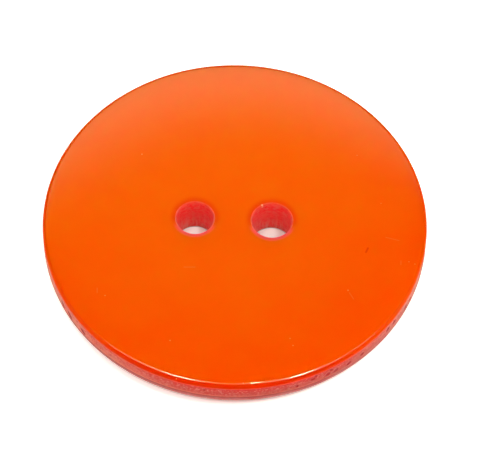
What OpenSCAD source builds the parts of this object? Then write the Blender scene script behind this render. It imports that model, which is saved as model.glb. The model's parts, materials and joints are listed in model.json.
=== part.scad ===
// Two-hole sew-through button, cast as one disc and turned to its profile.
// The flat back lies on z = 0, Z is the axis of the disc, and the two thread holes lie on the X axis.

/* [Disc] */
// Diameter over the turned wall
button_d = 28; // [20:0.5:45]
// Rise of the crowned face from its edge to the middle
crown_rise = 0.15; // [0.05:0.05:0.6]
// Radius of the polished round between the face and the wall
face_round_r = 0.35; // [0.1:0.05:0.8]
// Height of the straight turned wall
wall_h = 1.1; // [0.4:0.1:3]
// Radius of the round between the wall and the flat back
back_round_r = 1.7; // [0.5:0.1:3]

/* [Thread holes] */
// Distance from the axis to the middle of the left hole
left_hole_x = 2.9; // [2.2:0.05:5]
// Diameter of the left hole
left_hole_d = 2.7; // [1.5:0.05:3.4]
// Distance from the axis to the middle of the right hole
right_hole_x = 2.7; // [2.2:0.05:5]
// Diameter of the right hole
right_hole_d = 2.9; // [1.5:0.05:3.4]
// Width of the broken edge at both ends of a hole
hole_break = 0.1; // [0.05:0.01:0.3]

/* [Hidden] */

// How far a cutting shape runs past the surface that it cuts
cut_over = 0.5;
// Steps along each arc of the profile, and segments round a full turn
arc_steps = 16;
turn_fn = 180;
// Bright orange of the cast resin
resin_colour = [0.99, 0.37, 0.02];

button_r = button_d / 2;
wall_top_z = back_round_r + wall_h;

// The crown is a sphere that rises by crown_rise over the button's radius.
// The polished round lies inside that sphere and touches it, so the face runs on into it with no edge.
crown_r = (pow(button_r, 2) + pow(crown_rise, 2)) / (2 * crown_rise);
round_mid_r = button_r - face_round_r;
crown_mid_z = wall_top_z - sqrt(pow(crown_r - face_round_r, 2) - pow(round_mid_r, 2));
button_h = crown_mid_z + crown_r;

// Direction, from the middle of either circle, of the point where the crown and the round touch
touch_angle = acos(round_mid_r / (crown_r - face_round_r));

// Height of the crowned face at a distance from the axis
function face_z(r) = crown_mid_z + sqrt(pow(crown_r, 2) - pow(r, 2));

// Points along an arc about mid, without the first, which ends the stretch before it
function arc(mid, r, from, to) = [
  for (i = [1 : arc_steps])
    let (angle = from + (to - from) * i / arc_steps)
      mid + r * [cos(angle), sin(angle)]
];

// Half section of the disc: out along the back, up the wall, and in along the face to the axis
disc_profile = concat(
  [[0, 0], [button_r - back_round_r, 0]],
  arc([button_r - back_round_r, back_round_r], back_round_r, -90, 0),
  [[button_r, wall_top_z]],
  arc([round_mid_r, wall_top_z], face_round_r, 0, touch_angle),
  arc([0, crown_mid_z], crown_r, touch_angle, 90)
);

// Cutter for the broken edge of a hole: a cone at 45 degrees, with the surface at z = 0 and the hole above
module edge_break(hole_d) {
  translate([0, 0, -cut_over])
    cylinder(
      r1 = hole_d / 2 + hole_break + cut_over,
      r2 = hole_d / 2 - cut_over,
      h = hole_break + 2 * cut_over,
      $fn = turn_fn
    );
}

// Cutter for one thread hole: a straight bore with a broken edge at the back and at the face
module thread_hole(hole_x, hole_d) {
  translate([hole_x, 0, 0]) {
    translate([0, 0, -cut_over]) cylinder(d = hole_d, h = button_h + 2 * cut_over, $fn = turn_fn);
    edge_break(hole_d);
    translate([0, 0, face_z(hole_x)]) mirror([0, 0, 1]) edge_break(hole_d);
  }
}

module button() {
  color(resin_colour)
    difference() {
      rotate_extrude($fn = turn_fn) polygon(disc_profile);
      thread_hole(-left_hole_x, left_hole_d);
      thread_hole(right_hole_x, right_hole_d);
    }
}

button();
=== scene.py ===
"""Looks of a two-hole sew-through button: its polished face, turned wall, drilled holes and studio."""

import json
import math

import bpy
from mathutils import Matrix, Vector, geometry, noise


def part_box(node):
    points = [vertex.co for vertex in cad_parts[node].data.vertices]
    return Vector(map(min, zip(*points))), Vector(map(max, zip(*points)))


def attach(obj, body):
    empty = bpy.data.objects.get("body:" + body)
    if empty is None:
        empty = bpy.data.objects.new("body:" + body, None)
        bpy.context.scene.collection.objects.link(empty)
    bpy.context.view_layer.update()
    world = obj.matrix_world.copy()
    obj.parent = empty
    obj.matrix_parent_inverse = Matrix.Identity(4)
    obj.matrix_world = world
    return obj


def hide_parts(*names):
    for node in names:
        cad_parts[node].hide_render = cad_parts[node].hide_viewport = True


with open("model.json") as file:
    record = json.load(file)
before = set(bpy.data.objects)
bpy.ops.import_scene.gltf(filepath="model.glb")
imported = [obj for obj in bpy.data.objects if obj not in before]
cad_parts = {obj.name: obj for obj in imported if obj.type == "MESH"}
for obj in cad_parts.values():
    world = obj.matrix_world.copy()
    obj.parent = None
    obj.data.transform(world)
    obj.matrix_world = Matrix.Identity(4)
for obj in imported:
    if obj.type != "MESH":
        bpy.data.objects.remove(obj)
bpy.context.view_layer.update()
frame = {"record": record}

MM = 0.001

# Sizes that the frame gives
low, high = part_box("button")
BUTTON_R = (high.x - low.x) / 2
BUTTON_H = high.z
MOUNTS = {mount["name"]: mount for mount in frame["record"]["mounts"]}


class Hole:
    """One drilled thread hole: its middle on the X axis and its radius."""

    def __init__(self, mount_name):
        mount = MOUNTS[mount_name]
        self.x = mount["pos_m"][0]
        self.r = mount["dims"]["r_mm"] * MM


HOLES = [Hole("left_thread_hole"), Hole("right_thread_hole")]

# Sizes of the turned profile, as in the part's source
FACE_ROUND_R = 0.35 * MM
WALL_H = 1.1 * MM
BACK_ROUND_R = 1.7 * MM
HOLE_BREAK = 0.1 * MM

WALL_TOP = BACK_ROUND_R + WALL_H
ROUND_MID_R = BUTTON_R - FACE_ROUND_R

# The polished face is nearly flat in the middle and turns down to this tilt where it meets the round
FACE_EDGE_TILT = math.radians(3.0)
TOUCH_R = ROUND_MID_R + FACE_ROUND_R * math.sin(FACE_EDGE_TILT)
FACE_DROP = BUTTON_H - WALL_TOP - FACE_ROUND_R * math.cos(FACE_EDGE_TILT)
FACE_POWER = math.tan(FACE_EDGE_TILT) * TOUCH_R / FACE_DROP

# Material slots of the mesh
FACE, ROUND_FOOT, WALL, HOLE_WALL, BACK = range(5)

# Points round the rim and the holes
RIM_COUNT = 1600
HALF_COUNT = RIM_COUNT // 2
QUARTER_COUNT = RIM_COUNT // 4
HOLE_COUNT = 120

# The middle plate of the face and the back: its radius, its grid and the room left at its edges
PLATE_R = 7.5 * MM
PLATE_STEP = 0.3 * MM
PLATE_EDGE_GAP = 0.6 * PLATE_STEP
COLLAR_GAP = 0.5 * PLATE_STEP
SAME_PLACE = 1e-9

# Flat collar round each hole, with a ring close to the lip that keeps the face's shading flat up to it
COLLAR = 0.4 * MM
LIP_GUARD = 0.03 * MM

# Rings of the face from the plate out, and of the back from its round in: radius and points
FACE_RINGS = [
    (PLATE_R, QUARTER_COUNT),
    (9.0 * MM, QUARTER_COUNT),
    (10.5 * MM, HALF_COUNT),
    (12.0 * MM, HALF_COUNT),
    (13.0 * MM, RIM_COUNT),
    (13.4 * MM, RIM_COUNT),
    (TOUCH_R, RIM_COUNT),
]
BACK_RINGS = [
    (11.0 * MM, HALF_COUNT),
    (9.5 * MM, QUARTER_COUNT),
    (PLATE_R, QUARTER_COUNT),
]

# Steps down the profile and down the holes
ROUND_STEPS = 10
POLISHED_STEPS = 4
WALL_STEPS = 20
BACK_STEPS = 12
LIP_STEPS = 5
BORE_STEPS = 26

# Unevenness of the drilled holes
HOLE_UNEVEN = 0.012 * MM
HOLE_UNEVEN_SCALE = 0.35 * MM

# Pits in the turned wall: angle from the X axis, height, slant and half length, in degrees and millimetres
WALL_PITS = [
    (-64.6, 2.30, 25, 0.16),
    (-63.7, 2.57, 10, 0.11),
    (-59.7, 2.12, 35, 0.19),
    (-58.7, 2.49, 20, 0.11),
    (-57.0, 2.12, 35, 0.19),
    (-52.4, 2.06, 40, 0.22),
    (-47.5, 2.08, 30, 0.16),
    (-36.3, 2.28, 40, 0.21),
    (-33.2, 2.27, 40, 0.18),
    (-26.4, 2.00, 45, 0.21),
    (-23.3, 2.03, 40, 0.14),
    (-69.6, 2.05, 15, 0.10),
    (-96.9, 2.38, -10, 0.06),
    (-139.0, 2.00, -30, 0.28),
    (-145.8, 2.00, -40, 0.34),
    (-150.1, 2.04, -40, 0.28),
]
PIT_HALF_H = 0.145
PIT_REACH = 3
PIT_DEPTH = 0.035 * MM
PIT_LAYER = "pit"

# Pale specks on the face: place and half width, in millimetres
FACE_SPECKS = [
    (-7.04, 5.42, 0.08),
    (-4.25, -10.42, 0.09),
    (4.28, -9.92, 0.07),
    (4.51, -10.49, 0.08),
    (-9.08, -6.85, 0.08),
    (8.34, -5.74, 0.09),
    (12.70, -3.10, 0.07),
    (13.13, -3.26, 0.07),
    (10.62, 1.82, 0.06),
    (8.80, 5.97, 0.06),
    (-3.67, -13.42, 0.06),
    (1.07, -13.66, 0.05),
]
SPECK_CORE = 0.3
SPECK_SHARE = 0.65

# Scratches on the face: both ends, in millimetres
FACE_SCRATCHES = [
    ((-3.52, -4.26), (-2.73, -4.23)),
    ((11.01, -1.11), (11.96, -1.33)),
    ((8.45, -5.95), (8.75, -6.45)),
    ((-9.68, -6.25), (-9.66, -6.62)),
    ((12.12, -3.05), (12.12, -3.38)),
]
SCRATCH_HALF_W = 0.07 * MM
SCRATCH_SHARE = 0.26

# Red nick in the face: both ends, in millimetres
FACE_NICK = ((9.58, -2.45), (9.72, -2.10))
NICK_HALF_W = 0.12 * MM
NICK_SHARE = 0.75


def colour(red, green, blue):
    """Linear colour with alpha from the 0 to 255 values that a picture shows."""
    shares = [value / 255 for value in (red, green, blue)]
    linear = [s / 12.92 if s <= 0.04045 else ((s + 0.055) / 1.055) ** 2.4 for s in shares]
    return (*linear, 1.0)


ORANGE = colour(255, 83, 1)
ORANGE_LIGHT = colour(255, 88, 2)
HALO_SHADE_RED = colour(246, 40, 1)
EDGE_SHADE_RED = colour(217, 48, 0)
EDGE_SHADE_ORANGE = colour(252, 78, 1)
EDGE_SHADE_FLANK = colour(240, 75, 1)
SPECK_PALE = colour(255, 160, 110)
NICK_RED = colour(226, 36, 6)
CHIP_PALE = colour(255, 206, 184)
WALL_RED = colour(206, 24, 28)
WALL_CRIMSON = colour(202, 48, 47)
WALL_ROSE = colour(212, 82, 70)
WALL_SHADE = colour(184, 70, 72)
WALL_PINK = colour(224, 126, 118)
WALL_SIDE_SHEEN = colour(246, 148, 132)
PIT_SHADE = colour(176, 6, 26)
SEAM_REFLECTION_ORANGE = colour(242, 66, 22)
FOOT_PALE = colour(228, 118, 100)
HOLE_CRIMSON = colour(255, 78, 66)
HOLE_ROSE = colour(255, 110, 104)
HOLE_GLOW = (1.0, 0.025, 0.018, 1.0)
HOLE_DARK = colour(248, 22, 26)
RIM_GLOW_ROSE = colour(255, 62, 112)
HOLE_FOOT_SHADE = colour(190, 80, 60)
LIP_SHADE_RED = colour(226, 52, 16)
BACK_ORANGE = colour(248, 84, 4)
BACK_RED = colour(228, 60, 6)
BACK_SHADE = colour(168, 22, 24)


# Mesh of the button


def face_z(r):
    """Height of the crowned face at a distance from the axis."""
    return BUTTON_H - FACE_DROP * (r / TOUCH_R) ** FACE_POWER


class Skin:
    """Vertices and faces of one mesh, with a material slot for each face."""

    def __init__(self):
        self.points = []
        self.faces = []
        self.slots = []
        self.pits = {}

    def ring(self, points):
        start = len(self.points)
        self.points.extend(points)
        return list(range(start, len(self.points)))

    def face(self, corners, slot):
        self.faces.append(corners)
        self.slots.append(slot)

    def band(self, first, second, slot):
        """Closes the band between two rings of one count, or where one has twice the other's count."""
        count = min(len(first), len(second))
        first_step = len(first) // count
        second_step = len(second) // count
        for i in range(count):
            j = (i + 1) % count
            a, b = first[i * first_step], first[j * first_step]
            c, d = second[i * second_step], second[j * second_step]
            if first_step == 2:
                middle = first[2 * i + 1]
                self.face((a, c, middle), slot)
                self.face((c, d, middle), slot)
                self.face((middle, d, b), slot)
            elif second_step == 2:
                middle = second[2 * i + 1]
                self.face((a, c, middle), slot)
                self.face((a, middle, b), slot)
                self.face((b, middle, d), slot)
            else:
                self.face((a, c, d, b), slot)

    def bands(self, rows):
        """Closes the bands along rows of rings, where each row has the slot of the band before it."""
        for (first, _), (second, slot) in zip(rows, rows[1:]):
            self.band(first, second, slot)

    def mesh(self, name):
        mesh = bpy.data.meshes.new(name)
        mesh.from_pydata(self.points, [], self.faces)
        mesh.polygons.foreach_set("material_index", self.slots)
        mesh.polygons.foreach_set("use_smooth", [True] * len(self.faces))
        shares = mesh.attributes.new(PIT_LAYER, "FLOAT", "POINT")
        shares.data.foreach_set("value", [self.pits.get(i, 0.0) for i in range(len(self.points))])
        mesh.update()
        return mesh


def pit_share(turn, z):
    """How far the pits cut into the wall at an angle about the axis and a height, from 0 to 1."""
    share = 0.0
    for pit_degrees, pit_z, slant_degrees, half_length in WALL_PITS:
        away = math.remainder(turn - math.radians(pit_degrees), 2 * math.pi)
        along = away * BUTTON_R / MM
        if abs(along) > PIT_REACH * half_length:
            continue
        rise = z / MM - pit_z
        slant = math.radians(slant_degrees)
        long_way = (along * math.cos(slant) + rise * math.sin(slant)) / half_length
        short_way = (rise * math.cos(slant) - along * math.sin(slant)) / PIT_HALF_H
        share = max(share, math.exp(-((long_way**2 + short_way**2) ** 2)))
    return share


def rim_ring(skin, r, z, count, pitted=False):
    """A ring of the turned disc, anticlockwise from above."""
    points = []
    shares = []
    for i in range(count):
        turn = 2 * math.pi * i / count
        share = pit_share(turn, z) if pitted else 0.0
        here = r - share * PIT_DEPTH
        points.append((here * math.cos(turn), here * math.sin(turn), z))
        shares.append(share)
    ring = skin.ring(points)
    skin.pits.update((i, share) for i, share in zip(ring, shares) if share > 0)
    return ring


def hole_ring(skin, hole, r, depth, from_face, uneven=0.0):
    """A ring in a hole, clockwise from above, at a depth below the face or a height above the back."""
    points = []
    for i in range(HOLE_COUNT):
        turn = -2 * math.pi * i / HOLE_COUNT
        x = hole.x + r * math.cos(turn)
        y = r * math.sin(turn)
        z = face_z(math.hypot(x, y)) - depth if from_face else depth
        lump = uneven * noise.noise(Vector((x, y, z)) / HOLE_UNEVEN_SCALE)
        points.append((x + lump * math.cos(turn), y + lump * math.sin(turn), z))
    return skin.ring(points)


def arc_points(mid_r, mid_z, r, start, end, steps):
    """Radius and height of points along an arc of the profile, without the first."""
    turns = [start + (end - start) * (i + 1) / steps for i in range(steps)]
    return [(mid_r + r * math.cos(turn), mid_z + r * math.sin(turn)) for turn in turns]


def clear_of_holes(x, y):
    """Whether a place in plan lies outside the collars of both holes, with room to spare."""
    for hole in HOLES:
        if math.hypot(x - hole.x, y) < hole.r + HOLE_BREAK + COLLAR + COLLAR_GAP:
            return False
    return True


def plate(skin, rings, height, slot, upward):
    """Fills the middle of the face or the back, between the disc's inner ring and the hole collars."""
    known = [i for ring in rings for i in ring]
    edges = []
    start = 0
    for ring in rings:
        edges += [(start + i, start + (i + 1) % len(ring)) for i in range(len(ring))]
        start += len(ring)
    # Points of a triangular grid, with every other row moved along by half a step
    row_step = PLATE_STEP * math.sqrt(3) / 2
    rows = int(PLATE_R / row_step)
    for row in range(-rows, rows + 1):
        for column in range(-rows, rows + 1):
            x = (column + 0.5 * (row % 2)) * PLATE_STEP
            y = row * row_step
            r = math.hypot(x, y)
            if r < PLATE_R - PLATE_EDGE_GAP and clear_of_holes(x, y):
                known.append(len(skin.points))
                skin.points.append((x, y, height(r)))
    flat = [Vector(skin.points[i][:2]) for i in known]
    made = geometry.delaunay_2d_cdt(flat, edges, [], 0, SAME_PLACE)
    triangles = made[2]
    sources = made[3]
    collars = [set(ring) for ring in rings[1:]]
    for corners in triangles:
        ids = [known[sources[corner][0]] for corner in corners]
        # A triangle with all its corners on one collar lies inside that hole
        if not any(collar.issuperset(ids) for collar in collars):
            skin.face(tuple(ids) if upward else tuple(reversed(ids)), slot)


def hole_rows(skin, hole):
    """Rings of one hole, from the collar on the face down to the collar on the back."""
    lip_r = hole.r + HOLE_BREAK
    turns = [math.pi / 2 * (i + 1) / LIP_STEPS for i in range(LIP_STEPS)]
    lip = [(lip_r - HOLE_BREAK * math.sin(t), HOLE_BREAK * (1 - math.cos(t))) for t in turns]
    collar_radii = [lip_r + COLLAR, lip_r + LIP_GUARD, lip_r]
    rows = [(hole_ring(skin, hole, r, 0.0, True), FACE) for r in collar_radii]
    rows += [(hole_ring(skin, hole, r, depth, True), HOLE_WALL) for r, depth in lip]
    bore_h = face_z(abs(hole.x)) - 2 * HOLE_BREAK
    for i in range(1, BORE_STEPS):
        depth = HOLE_BREAK + bore_h * i / BORE_STEPS
        rows.append((hole_ring(skin, hole, hole.r, depth, True, HOLE_UNEVEN), HOLE_WALL))
    for r, rise in reversed(lip):
        rows.append((hole_ring(skin, hole, r, rise, False), HOLE_WALL))
    rows.append((hole_ring(skin, hole, lip_r, 0.0, False), HOLE_WALL))
    rows.append((hole_ring(skin, hole, lip_r + COLLAR, 0.0, False), BACK))
    return rows


def button_mesh():
    skin = Skin()

    # The turned profile: face, polished round, wall, back round and back
    rows = [(rim_ring(skin, r, face_z(r), count), FACE) for r, count in FACE_RINGS]
    round_start = math.pi / 2 - FACE_EDGE_TILT
    round_rows = arc_points(ROUND_MID_R, WALL_TOP, FACE_ROUND_R, round_start, 0.0, ROUND_STEPS)
    for i, (r, z) in enumerate(round_rows):
        rows.append((rim_ring(skin, r, z, RIM_COUNT), FACE if i < POLISHED_STEPS else ROUND_FOOT))
    for i in range(WALL_STEPS):
        z = WALL_TOP - WALL_H * (i + 1) / WALL_STEPS
        rows.append((rim_ring(skin, BUTTON_R, z, RIM_COUNT, pitted=True), WALL))
    back_mid_r = BUTTON_R - BACK_ROUND_R
    for r, z in arc_points(back_mid_r, BACK_ROUND_R, BACK_ROUND_R, 0.0, -math.pi / 2, BACK_STEPS):
        rows.append((rim_ring(skin, r, z, RIM_COUNT), BACK))
    for r, count in BACK_RINGS:
        rows.append((rim_ring(skin, r, 0.0, count), BACK))
    skin.bands(rows)

    # The holes, and the plates between them and the rings
    face_edges, back_edges = [rows[0][0]], [rows[-1][0]]
    for hole in HOLES:
        rings = hole_rows(skin, hole)
        skin.bands(rings)
        face_edges.append(rings[0][0])
        back_edges.append(rings[-1][0])
    plate(skin, face_edges, face_z, FACE, True)
    plate(skin, back_edges, lambda r: 0.0, BACK, False)
    return skin.mesh("button_look")


# Materials

# Refraction of cast polyester resin, and how far each colour of light spreads in it, in millimetres
RESIN_IOR = 1.56
RESIN_SPREAD = (5.0, 0.6, 0.3)


class Nodes:
    """Short calls that add nodes to one node tree."""

    def __init__(self, tree):
        self.tree = tree

    def put(self, socket, value):
        if isinstance(value, bpy.types.NodeSocket):
            self.tree.links.new(value, socket)
        else:
            socket.default_value = value

    def node(self, kind, **sockets):
        node = self.tree.nodes.new(kind)
        for name, value in sockets.items():
            self.put(node.inputs[name], value)
        return node

    def math(self, operation, first, second=0.0):
        node = self.tree.nodes.new("ShaderNodeMath")
        node.operation = operation
        self.put(node.inputs[0], first)
        self.put(node.inputs[1], second)
        return node.outputs[0]

    def times(self, first, second):
        return self.math("MULTIPLY", first, second)

    def plus(self, first, second):
        return self.math("ADD", first, second)

    def vector(self, operation, first, second):
        node = self.tree.nodes.new("ShaderNodeVectorMath")
        node.operation = operation
        self.put(node.inputs[0], first)
        self.put(node.inputs[1], second)
        return node

    def step(self, value, start, end, start_level=0.0, end_level=1.0):
        """Smooth run from one level to the other as value goes from start to end."""
        node = self.tree.nodes.new("ShaderNodeMapRange")
        node.interpolation_type = "SMOOTHSTEP"
        for i, entry in enumerate((value, start, end, start_level, end_level)):
            self.put(node.inputs[i], entry)
        return node.outputs[0]

    def blend(self, share, first, second):
        node = self.tree.nodes.new("ShaderNodeMix")
        node.data_type = "RGBA"
        self.put(node.inputs["Factor"], share)
        colours = [socket for socket in node.inputs if socket.type == "RGBA"]
        self.put(colours[0], first)
        self.put(colours[1], second)
        return next(socket for socket in node.outputs if socket.type == "RGBA")

    def tinted(self, level, tone):
        node = self.tree.nodes.new("ShaderNodeVectorMath")
        node.operation = "SCALE"
        node.inputs[0].default_value = tone
        self.put(node.inputs["Scale"], level)
        return node.outputs["Vector"]

    def plan_distance(self, point, x, y):
        """Distance from a place, with heights left out."""
        away = self.vector("SUBTRACT", point, (x, y, 0.0)).outputs["Vector"]
        flat = self.vector("MULTIPLY", away, (1.0, 1.0, 0.0)).outputs["Vector"]
        return self.vector("LENGTH", flat, (0.0, 0.0, 0.0)).outputs["Value"]


class Shader(Nodes):
    """One material of the button or the floor."""

    def __init__(self, name):
        self.material = bpy.data.materials.new(name)
        self.material.use_nodes = True
        super().__init__(self.material.node_tree)
        self.surface = self.tree.nodes["Principled BSDF"]
        self.point = self.tree.nodes.new("ShaderNodeTexCoord").outputs["Object"]
        self.x, self.y, self.z = self.node("ShaderNodeSeparateXYZ", Vector=self.point).outputs

    def set(self, name, value):
        self.put(self.surface.inputs[name], value)

    def noise(self, size, detail, stretch=(1.0, 1.0, 1.0), distortion=0.0):
        """Cloud pattern from 0 to 1 with grains of about that size in metres."""
        place = self.vector("MULTIPLY", self.point, stretch).outputs["Vector"]
        node = self.node("ShaderNodeTexNoise", Vector=place, Scale=1 / size, Detail=detail)
        node.inputs["Distortion"].default_value = distortion
        return node.outputs["Fac"]

    def line_distance(self, start, end):
        """Distance in plan from a straight line on the face, between two places in millimetres."""
        start, end = Vector((*start, 0.0)) * MM, Vector((*end, 0.0)) * MM
        along = (end - start).normalized()
        away = self.vector("SUBTRACT", self.point, (start + end) / 2).outputs["Vector"]
        run = self.math("ABSOLUTE", self.vector("DOT_PRODUCT", away, along).outputs["Value"])
        past = self.math("MAXIMUM", self.math("SUBTRACT", run, (end - start).length / 2), 0.0)
        side = self.vector("DOT_PRODUCT", away, (-along.y, along.x, 0.0)).outputs["Value"]
        return self.math("SQRT", self.plus(self.times(past, past), self.times(side, side)))

    def translucent(self):
        """Light that goes into the resin comes out a little way off, and redder."""
        self.set("Subsurface Weight", 1.0)
        self.set("Subsurface Radius", RESIN_SPREAD)
        self.set("Subsurface Scale", MM)

    def bump(self, height, distance):
        node = self.node("ShaderNodeBump", Height=height, Distance=distance)
        self.set("Normal", node.outputs["Normal"])


# Polished face and round. A pair of values is where a smooth run starts and ends.
FACE_CLOUD = 2.5 * MM
FACE_CLOUD_RUN = (0.3, 0.7)
HALO_GAP_RUN = (0.05 * MM, 0.66 * MM)
HALO_Y_RUN = (-1.1 * MM, 0.0)
HALO_SHARE = 0.9
ROSY_GAP_RUN = (0.08 * MM, 0.42 * MM)
ROSY_Y_RUN = (-0.4 * MM, -1.1 * MM)
ROSY_SHARE = 0.8
ROSY_GLOW = 0.3
EDGE_Z_RUN = (WALL_TOP + 0.348 * MM, WALL_TOP + 0.29 * MM)
FLANK_Y_RUN = (-3.0 * MM, -8.0 * MM)
FRONT_Y_RUN = (-9.5 * MM, -12.5 * MM)
FINE_GRAIN = 0.6 * MM
FINE_GRAIN_RUN = (0.2, 0.8)
FACE_BUMP = 0.001 * MM


def polished_face(name, specular, smooth, dull):
    """Orange resin, with the roughness between two values."""
    look = Shader(name)
    cloud = look.noise(FACE_CLOUD, detail=4.0)
    tone = look.blend(look.step(cloud, *FACE_CLOUD_RUN), ORANGE, ORANGE_LIGHT)

    # Painted red shade behind and beside each hole, and a painted rosy glow before it, where red light
    # leaves the resin
    warmth = 0.0
    for hole in HOLES:
        gap = look.math("SUBTRACT", look.plan_distance(look.point, hole.x, 0.0), hole.r)
        shade = look.step(gap, *HALO_GAP_RUN, 1.0, 0.0)
        behind = look.step(look.y, *HALO_Y_RUN, 0.0, HALO_SHARE)
        tone = look.blend(look.times(shade, behind), tone, HALO_SHADE_RED)
        glow = look.step(gap, *ROSY_GAP_RUN, ROSY_SHARE, 0.0)
        before = look.step(look.y, *ROSY_Y_RUN)
        rosy = look.times(glow, before)
        tone = look.blend(rosy, tone, RIM_GLOW_ROSE)
        warmth = look.math("MAXIMUM", rosy, warmth)

    # Painted shade down the round: deeper orange, duller on its flanks and red where it faces the front
    down = look.step(look.z, *EDGE_Z_RUN)
    edge_shade = look.blend(look.step(look.y, *FLANK_Y_RUN), EDGE_SHADE_ORANGE, EDGE_SHADE_FLANK)
    edge_shade = look.blend(look.step(look.y, *FRONT_Y_RUN), edge_shade, EDGE_SHADE_RED)
    tone = look.blend(down, tone, edge_shade)

    # Specks, scratches and a nick
    marks = 0.0
    for x, y, half_w in FACE_SPECKS:
        away = look.plan_distance(look.point, x * MM, y * MM)
        spot = look.step(away, SPECK_CORE * half_w * MM, half_w * MM, SPECK_SHARE, 0.0)
        marks = look.math("MAXIMUM", spot, marks)
    for start, end in FACE_SCRATCHES:
        line = look.step(look.line_distance(start, end), 0.0, SCRATCH_HALF_W, SCRATCH_SHARE, 0.0)
        marks = look.math("MAXIMUM", line, marks)
    tone = look.blend(marks, tone, SPECK_PALE)
    nick = look.step(look.line_distance(*FACE_NICK), 0.0, NICK_HALF_W, NICK_SHARE, 0.0)
    tone = look.blend(nick, tone, NICK_RED)
    look.set("Base Color", tone)
    # Painted rosy glow: a faint red emission before each hole
    look.set("Emission Color", HOLE_GLOW)
    look.set("Emission Strength", look.times(warmth, ROSY_GLOW))

    fine = look.noise(FINE_GRAIN, detail=3.0)
    look.set("Roughness", look.step(fine, *FINE_GRAIN_RUN, smooth, dull))
    look.set("Specular IOR Level", specular)
    look.set("IOR", RESIN_IOR)
    look.bump(fine, FACE_BUMP)
    look.translucent()
    return look.material


# Turned wall: lines along it, grain, and colours from its top to its foot
WALL_LINES = 0.5 * MM
WALL_LINES_STRETCH = (0.35, 0.35, 2.2)
WALL_GRAIN = 0.22 * MM
WALL_GRAIN_TWIST = 0.6
WALL_GRAIN_RUN = (0.3, 0.7)
WALL_SPECKLE = 0.17 * MM
WALL_UNEVEN = 1.0 * MM
CRIMSON_Z_RUN = (WALL_TOP + 1.0 * MM, WALL_TOP + 0.5 * MM)
ROSE_Z_RUN = (WALL_TOP + 0.55 * MM, WALL_TOP - 0.1 * MM)
SHEEN_LEFT_RUN = (-2 * MM, -13 * MM)
SHEEN_RIGHT_RUN = (6 * MM, 14 * MM)
SHEEN_SIDE_SHARE = 0.9
SHEEN_PATCH_RUN = (0.14, 0.30)
SHEEN_PATCH_SHARES = (0.2, 0.95)
PINK_Z_RUN = (WALL_TOP, WALL_TOP - 0.45 * MM)
PINK_SHARES = (0.2, 0.7)
PINK_RUN = (0.5, 0.7)
RED_RUN = (0.48, 0.3)
RED_SHARE = 0.8
FOOT_Z_RUN = (BACK_ROUND_R + 0.18 * MM, BACK_ROUND_R + 0.06 * MM)
FOOT_SHARE = 0.8
WALL_SHADE_X_RUN = (-8 * MM, 3 * MM)
WALL_SHADE_Z_RUN = (2.45 * MM, 2.0 * MM)
WALL_SHADE_SHARE = 0.5
SEAM_UNEVEN = 0.1 * MM
SEAM_Z_RUN = (WALL_TOP - 0.06 * MM, WALL_TOP + 0.03 * MM)
PIT_RUN = (0.02, 0.35)
WALL_ROUGHNESS = (0.5, 0.7)
WALL_BUMP = 0.02 * MM
WALL_SPECULAR = 0.3


def turned_wall():
    """Matte red wall with tool lines, a painted pale sheen in patches on its left and right, and pits
    darkened with painted shade.
    """
    look = Shader("turned_wall")
    lines = look.noise(WALL_LINES, detail=4.0, stretch=WALL_LINES_STRETCH)
    grain = look.noise(WALL_GRAIN, detail=5.0, distortion=WALL_GRAIN_TWIST)
    rough = look.plus(lines, grain)
    drop = look.plus(look.z, look.times(rough, WALL_UNEVEN))
    tone = look.blend(look.step(drop, *CRIMSON_Z_RUN), WALL_RED, WALL_CRIMSON)
    tone = look.blend(look.step(drop, *ROSE_Z_RUN), tone, WALL_ROSE)

    # Painted sheen, pale in patches, on the left and right of the wall
    left = look.step(look.x, *SHEEN_LEFT_RUN, 0.0, SHEEN_SIDE_SHARE)
    right = look.step(look.x, *SHEEN_RIGHT_RUN, 0.0, SHEEN_SIDE_SHARE)
    mottle = look.step(look.times(grain, lines), *SHEEN_PATCH_RUN, *SHEEN_PATCH_SHARES)
    tone = look.blend(look.times(mottle, look.plus(left, right)), tone, WALL_SIDE_SHEEN)

    speckle = look.noise(WALL_SPECKLE, detail=2.0)
    below = look.step(look.z, *PINK_Z_RUN, *PINK_SHARES)
    tone = look.blend(look.times(look.step(speckle, *PINK_RUN), below), tone, WALL_PINK)
    tone = look.blend(look.step(speckle, *RED_RUN, 0.0, RED_SHARE), tone, WALL_RED)

    foot = look.step(look.z, *FOOT_Z_RUN, 0.0, FOOT_SHARE)
    tone = look.blend(foot, tone, FOOT_PALE)
    # Painted shade on the lower part of the wall towards the right
    low_down = look.step(look.z, *WALL_SHADE_Z_RUN, 0.0, WALL_SHADE_SHARE)
    tone = look.blend(look.times(look.step(look.x, *WALL_SHADE_X_RUN), low_down), tone, WALL_SHADE)
    # Painted reflection of the floor: a lighter orange line along the top of the wall
    seam = look.plus(look.z, look.times(lines, SEAM_UNEVEN))
    tone = look.blend(look.step(seam, *SEAM_Z_RUN), tone, SEAM_REFLECTION_ORANGE)
    # Painted shade in the pits, which are also dented in the mesh
    pits = look.tree.nodes.new("ShaderNodeAttribute")
    pits.attribute_name = PIT_LAYER
    tone = look.blend(look.step(pits.outputs["Fac"], *PIT_RUN), tone, PIT_SHADE)
    look.set("Base Color", tone)

    look.set("Roughness", look.step(grain, *WALL_GRAIN_RUN, *WALL_ROUGHNESS))
    look.set("Specular IOR Level", WALL_SPECULAR)
    look.bump(rough, WALL_BUMP)
    look.translucent()
    return look.material


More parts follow.
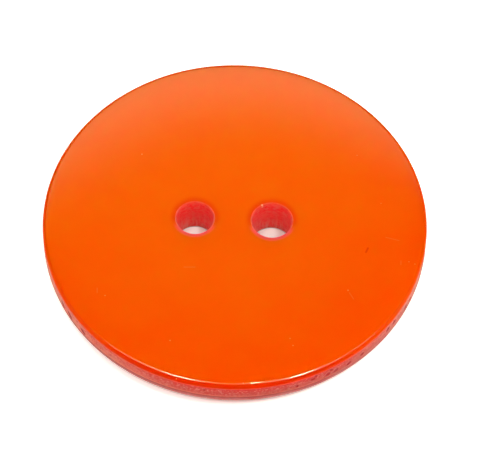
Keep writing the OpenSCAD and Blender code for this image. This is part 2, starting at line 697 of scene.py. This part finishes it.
# Drilled holes: streaks down them, grain, and colours from the lip to the foot
HOLE_STREAKS = 0.16 * MM
HOLE_STREAKS_STRETCH = (1.0, 1.0, 0.15)
HOLE_STREAKS_RUN = (0.42, 0.62)
HOLE_GRAIN = 0.32 * MM
HOLE_GRAIN_STRETCH = (1.0, 1.0, 1.6)
HOLE_GRAIN_TWIST = 0.8
HOLE_GRAIN_RUN = (0.3, 0.7)
HOLE_CRIMSON_RUN = (0.38, 0.6)
UPPER_Z_RUN = (1.6 * MM, 2.8 * MM)
UPPER_SHARE = 0.8
UPPER_RUN = (0.45, 0.65)
LOWER_Z_RUN = (2.0 * MM, 0.3 * MM)
LOWER_SHARES = (0.1, 0.8)
LIP_Z_RUN = (BUTTON_H - 0.4 * MM, BUTTON_H - 0.1 * MM)
LIP_SHARE = 0.8
LIP_RUN = (0.3, 0.6)
LIP_SHARES = (0.4, 1.0)
LIP_EDGE_Z_RUN = (BUTTON_H - 0.2 * MM, BUTTON_H - 0.06 * MM)
BACK_LIP_Y_RUN = (0.5 * MM, 1.2 * MM)
BACK_LIP_SHARE = 0.75
FRONT_LIP_SHARE = 0.6
FRONT_LIP_GLOW = 0.2
HOLE_FOOT_Z_RUN = (0.12 * MM, 0.05 * MM)
HOLE_FOOT_SHARE = 0.8
CHIP_PLACE = (1.94 * MM, 1.30 * MM)
CHIP_R_RUN = (0.03 * MM, 0.1 * MM)
CHIP_Z_RUN = (2.9 * MM, 3.1 * MM)
CHIP_SHARE = 0.9
HOLE_GLOW_Z_RUN = (1.6 * MM, 0.3 * MM)
HOLE_GLOW_LEVELS = (0.04, 0.16)
HOLE_ROUGHNESS = (0.4, 0.6)
HOLE_SPECULAR = 0.2
HOLE_BUMP = 0.03 * MM


def drilled_hole():
    """Crimson holes with rosy grain and streaks, and a pale chip in the lip of the right one."""
    look = Shader("drilled_hole")
    streaks = look.noise(HOLE_STREAKS, detail=3.0, stretch=HOLE_STREAKS_STRETCH)
    grain = look.noise(HOLE_GRAIN, detail=4.0, stretch=HOLE_GRAIN_STRETCH, distortion=HOLE_GRAIN_TWIST)
    tone = look.blend(look.step(grain, *HOLE_CRIMSON_RUN), HOLE_DARK, HOLE_CRIMSON)
    upper = look.step(look.z, *UPPER_Z_RUN, 0.0, UPPER_SHARE)
    tone = look.blend(look.times(upper, look.step(grain, *UPPER_RUN)), tone, HOLE_ROSE)
    lower = look.step(look.z, *LOWER_Z_RUN, *LOWER_SHARES)
    tone = look.blend(look.times(lower, look.step(streaks, *HOLE_STREAKS_RUN)), tone, HOLE_ROSE)

    lip = look.step(look.z, *LIP_Z_RUN, 0.0, LIP_SHARE)
    tone = look.blend(look.times(lip, look.step(grain, *LIP_RUN, *LIP_SHARES)), tone, HOLE_ROSE)
    # Painted shade on the back of the lip
    lip_edge = look.step(look.z, *LIP_EDGE_Z_RUN)
    back_lip_shade = look.times(lip_edge, look.step(look.y, *BACK_LIP_Y_RUN, 0.0, BACK_LIP_SHARE))
    tone = look.blend(back_lip_shade, tone, LIP_SHADE_RED)
    # Painted rosy glow on the front of the lip
    front_lip_glow = look.times(lip_edge, look.step(look.y, *ROSY_Y_RUN))
    tone = look.blend(look.times(front_lip_glow, FRONT_LIP_SHARE), tone, RIM_GLOW_ROSE)
    # Painted contact shade at the foot of the hole
    tone = look.blend(look.step(look.z, *HOLE_FOOT_Z_RUN, 0.0, HOLE_FOOT_SHARE), tone, HOLE_FOOT_SHADE)
    chip = look.step(look.plan_distance(look.point, *CHIP_PLACE), *CHIP_R_RUN, CHIP_SHARE, 0.0)
    tone = look.blend(look.times(chip, look.step(look.z, *CHIP_Z_RUN)), tone, CHIP_PALE)
    look.set("Base Color", tone)

    look.set("Roughness", look.step(grain, *HOLE_GRAIN_RUN, *HOLE_ROUGHNESS))
    look.set("Specular IOR Level", HOLE_SPECULAR)
    look.bump(look.plus(streaks, grain), HOLE_BUMP)
    look.translucent()

    # Painted red glow: an emission, stronger towards the foot and on the front of the lip, for red light
    # that reaches the hole through the resin, which comes in from the face all round
    look.set("Emission Color", HOLE_GLOW)
    glow = look.step(look.z, *HOLE_GLOW_Z_RUN, *HOLE_GLOW_LEVELS)
    look.set("Emission Strength", look.plus(glow, look.times(front_lip_glow, FRONT_LIP_GLOW)))
    return look.material


# Turned back: cloud, turning marks, and painted shade, a dull red, up the back round
BACK_CLOUD = 2.0 * MM
TURNING_PITCH = 0.5 * MM
TURNING_SHARE = 0.08
BACK_TONE_RUN = (0.35, 0.7)
BACK_SHADE_Z_RUN = (0.5 * MM, 1.3 * MM)
BACK_ROUGH_RUN = (0.3, 0.7)
BACK_ROUGHNESS = (0.35, 0.5)
BACK_SPECULAR = 0.2
BACK_BUMP = 0.02 * MM


def turned_back():
    """Orange back with faint turning marks."""
    look = Shader("turned_back")
    cloud = look.noise(BACK_CLOUD, detail=5.0)
    from_axis = look.plan_distance(look.point, 0.0, 0.0)
    rings = look.math("SINE", look.times(from_axis, 2 * math.pi / TURNING_PITCH))
    mottle = look.plus(cloud, look.times(rings, TURNING_SHARE))
    tone = look.blend(look.step(mottle, *BACK_TONE_RUN), BACK_RED, BACK_ORANGE)
    # Painted shade up the back round, where it faces the floor
    tone = look.blend(look.step(look.z, *BACK_SHADE_Z_RUN), tone, BACK_SHADE)
    look.set("Base Color", tone)
    look.set("Roughness", look.step(mottle, *BACK_ROUGH_RUN, *BACK_ROUGHNESS))
    look.set("Specular IOR Level", BACK_SPECULAR)
    look.bump(mottle, BACK_BUMP)
    look.translucent()
    return look.material


# The piece, with its materials in the order of the slots
button = bpy.data.objects.new("button_look", button_mesh())
bpy.context.scene.collection.objects.link(button)
MATERIALS = [
    polished_face("polished_face", specular=0.65, smooth=0.05, dull=0.08),
    polished_face("round_foot", specular=0.02, smooth=0.25, dull=0.35),
    turned_wall(),
    drilled_hole(),
    turned_back(),
]
for material in MATERIALS:
    button.data.materials.append(material)
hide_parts("button")
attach(button, "root")

# Studio: floor, world and lamps

# White floor, with painted shade, darker and bluer, under the button, and lifted to white outside its
# outline
FLOOR_HALF = 1.5
FLOOR_DROP = 0.02 * MM
FLOOR_TONE = (0.88, 0.88, 0.88, 1.0)
FLOOR_ROUGHNESS = 0.9
UNDER_SHADE_TONE = (0.57, 0.69, 0.82, 1.0)
UNDER_R = 8.0 * MM
UNDER_SOFT = 2.0 * MM
WHITE = (1.0, 1.0, 1.0, 1.0)
FLOOR_LIFT = 0.75
LIFT_START_R = 13.1 * MM
LIFT_FULL_R = 13.58 * MM

# Radiance of the studio round the button, by direction
FILL_LEVEL = 0.40
FILL_TONE = (1.0, 0.92, 0.6)
FILL_TOP_Z = math.sin(math.radians(50))
FILL_SOFT = 0.2
FILL_FULL_Y = -0.10
FILL_END_Y = 0.25
ARCH_LEVEL = 0.72
ARCH_TONE = (1.0, 1.0, 1.0)
ARCH_START_Y = 0.559
ARCH_FULL_Y = 0.643
ARCH_LEAN = 0.17
ARCH_FOOT_Z = 0.69
ARCH_FOOT_SOFT = 0.03
GLOW_LEVEL = 0.97
GLOW_TONE = (1.0, 0.98, 0.02)
GLOW_START_Y = 0.447
GLOW_FULL_Y = 0.628
GLOW_LEAN = 0.58

# Lamps above the button: name, place on X and on Y and width in metres, and radiance
TOP_BOXES = [
    ("top_box_left", -0.092, -0.04, 0.058, 36.2),
    ("top_box_left_wide", -0.112, -0.04, 0.168, 6.6),
    ("top_box_left_far", -0.246, -0.04, 0.100, 4.7),
    ("top_box_middle", 0.040, -0.04, 0.012, 92.0),
    ("top_box_middle_wide", 0.005, -0.04, 0.066, 2.2),
    ("top_box_right", 0.170, -0.14, 0.046, 88.0),
    ("top_box_right_wide", 0.190, -0.12, 0.220, 4.7),
    ("top_box_right_far", 0.320, -0.04, 0.200, 2.7),
]
TOP_BOX_Z = 0.5
TOP_BOX_LENGTH = 0.10
TOP_BOX_TONE = (1.0, 0.94, 0.72)


def floor_material():
    look = Shader("floor")
    rays = look.tree.nodes.new("ShaderNodeLightPath").outputs
    seen = look.math("MAXIMUM", rays["Is Camera Ray"], rays["Is Glossy Ray"])
    seen = look.math("MAXIMUM", seen, rays["Is Transmission Ray"])
    from_axis = look.plan_distance(look.point, 0.0, 0.0)
    # Painted shade, darker and bluer, on the floor under the button
    under_shade = look.step(from_axis, UNDER_R, UNDER_R + UNDER_SOFT, 1.0, 0.0)
    look.set("Base Color", look.blend(under_shade, FLOOR_TONE, UNDER_SHADE_TONE))
    look.set("Roughness", FLOOR_ROUGHNESS)
    look.set("Emission Color", WHITE)
    outside = look.step(from_axis, LIFT_START_R, LIFT_FULL_R, 0.0, FLOOR_LIFT)
    look.set("Emission Strength", look.times(seen, outside))
    return look.material


def studio_floor():
    sides = [(-1, -1), (1, -1), (1, 1), (-1, 1)]
    mesh = bpy.data.meshes.new("floor")
    corners = [(x * FLOOR_HALF, y * FLOOR_HALF, -FLOOR_DROP) for x, y in sides]
    mesh.from_pydata(corners, [], [(0, 1, 2, 3)])
    mesh.materials.append(floor_material())
    floor = bpy.data.objects.new("floor", mesh)
    bpy.context.scene.collection.objects.link(floor)


def studio_world():
    """White where the camera sees it, a soft fill in front, and an arch and a yellow glow behind."""
    world = bpy.data.worlds.new("studio")
    world.use_nodes = True
    sky = Nodes(world.node_tree)
    direction = sky.tree.nodes.new("ShaderNodeTexCoord").outputs["Generated"]
    x, y, z = sky.node("ShaderNodeSeparateXYZ", Vector=direction).outputs
    fill = sky.step(z, FILL_TOP_Z - FILL_SOFT, FILL_TOP_Z, FILL_LEVEL, 0.0)
    fill = sky.times(fill, sky.step(y, FILL_FULL_Y, FILL_END_Y, 1.0, 0.0))
    above = sky.step(z, ARCH_FOOT_Z - ARCH_FOOT_SOFT, ARCH_FOOT_Z + ARCH_FOOT_SOFT)
    arch_lean = sky.times(sky.math("MINIMUM", x, 0.0), ARCH_LEAN)
    arch = sky.step(sky.math("SUBTRACT", y, arch_lean), ARCH_START_Y, ARCH_FULL_Y, 0.0, ARCH_LEVEL)
    glow_lean = sky.times(sky.math("MAXIMUM", x, 0.0), GLOW_LEAN)
    glow = sky.step(sky.math("SUBTRACT", y, glow_lean), GLOW_START_Y, GLOW_FULL_Y, 0.0, GLOW_LEVEL)
    light = sky.tinted(fill, FILL_TONE)
    light = sky.vector("ADD", light, sky.tinted(sky.times(arch, above), ARCH_TONE)).outputs["Vector"]
    light = sky.vector("ADD", light, sky.tinted(sky.times(glow, above), GLOW_TONE)).outputs["Vector"]
    seen = sky.tree.nodes.new("ShaderNodeLightPath").outputs["Is Camera Ray"]
    shown = sky.blend(seen, light, WHITE)
    sky.put(sky.tree.nodes["Background"].inputs["Color"], shown)
    bpy.context.scene.world = world


def top_box(name, x, y, width, radiance):
    """Rectangular lamp above the button that faces straight down with an even radiance."""
    lamp = bpy.data.lights.new(name, "AREA")
    lamp.shape = "RECTANGLE"
    lamp.size = width
    lamp.size_y = TOP_BOX_LENGTH
    lamp.energy = radiance * math.pi * width * TOP_BOX_LENGTH
    lamp.color = TOP_BOX_TONE
    box = bpy.data.objects.new(name, lamp)
    box.location = (x, y, TOP_BOX_Z)
    bpy.context.scene.collection.objects.link(box)


studio_floor()
studio_world()
for top_box_values in TOP_BOXES:
    top_box(*top_box_values)

# Camera, fitted to the outline and the holes in the photograph
PHOTO_W = 480
FOCAL_PIXELS = 3441
SENSOR_W = 36
CAMERA_DISTANCE = 250 * MM
CAMERA_ELEVATION = math.radians(57.36)
CAMERA_AZIMUTH = math.radians(1.22)
CAMERA_ROLL = math.radians(0.89)
CAMERA_AIM = Vector((0.40 * MM, -0.80 * MM, BUTTON_H))
CAMERA_CLIP_START = 0.01


def photo_camera():
    camera = bpy.data.cameras.new("photo_camera")
    camera.sensor_fit = "HORIZONTAL"
    camera.sensor_width = SENSOR_W
    camera.lens = FOCAL_PIXELS / PHOTO_W * SENSOR_W
    camera.clip_start = CAMERA_CLIP_START
    level_reach = math.cos(CAMERA_ELEVATION)
    toward = Vector((
        math.sin(CAMERA_AZIMUTH) * level_reach,
        -math.cos(CAMERA_AZIMUTH) * level_reach,
        math.sin(CAMERA_ELEVATION),
    ))
    level_right = Vector((math.cos(CAMERA_AZIMUTH), math.sin(CAMERA_AZIMUTH), 0.0))
    level_up = toward.cross(level_right)
    right = math.cos(CAMERA_ROLL) * level_right + math.sin(CAMERA_ROLL) * level_up
    up = math.cos(CAMERA_ROLL) * level_up - math.sin(CAMERA_ROLL) * level_right
    eye = bpy.data.objects.new("photo_camera", camera)
    turned = Matrix((right, up, toward)).transposed().to_4x4()
    eye.matrix_world = Matrix.Translation(CAMERA_AIM + CAMERA_DISTANCE * toward) @ turned
    bpy.context.scene.collection.objects.link(eye)
    bpy.context.scene.camera = eye


photo_camera()
bpy.context.scene.view_settings.view_transform = "Standard"
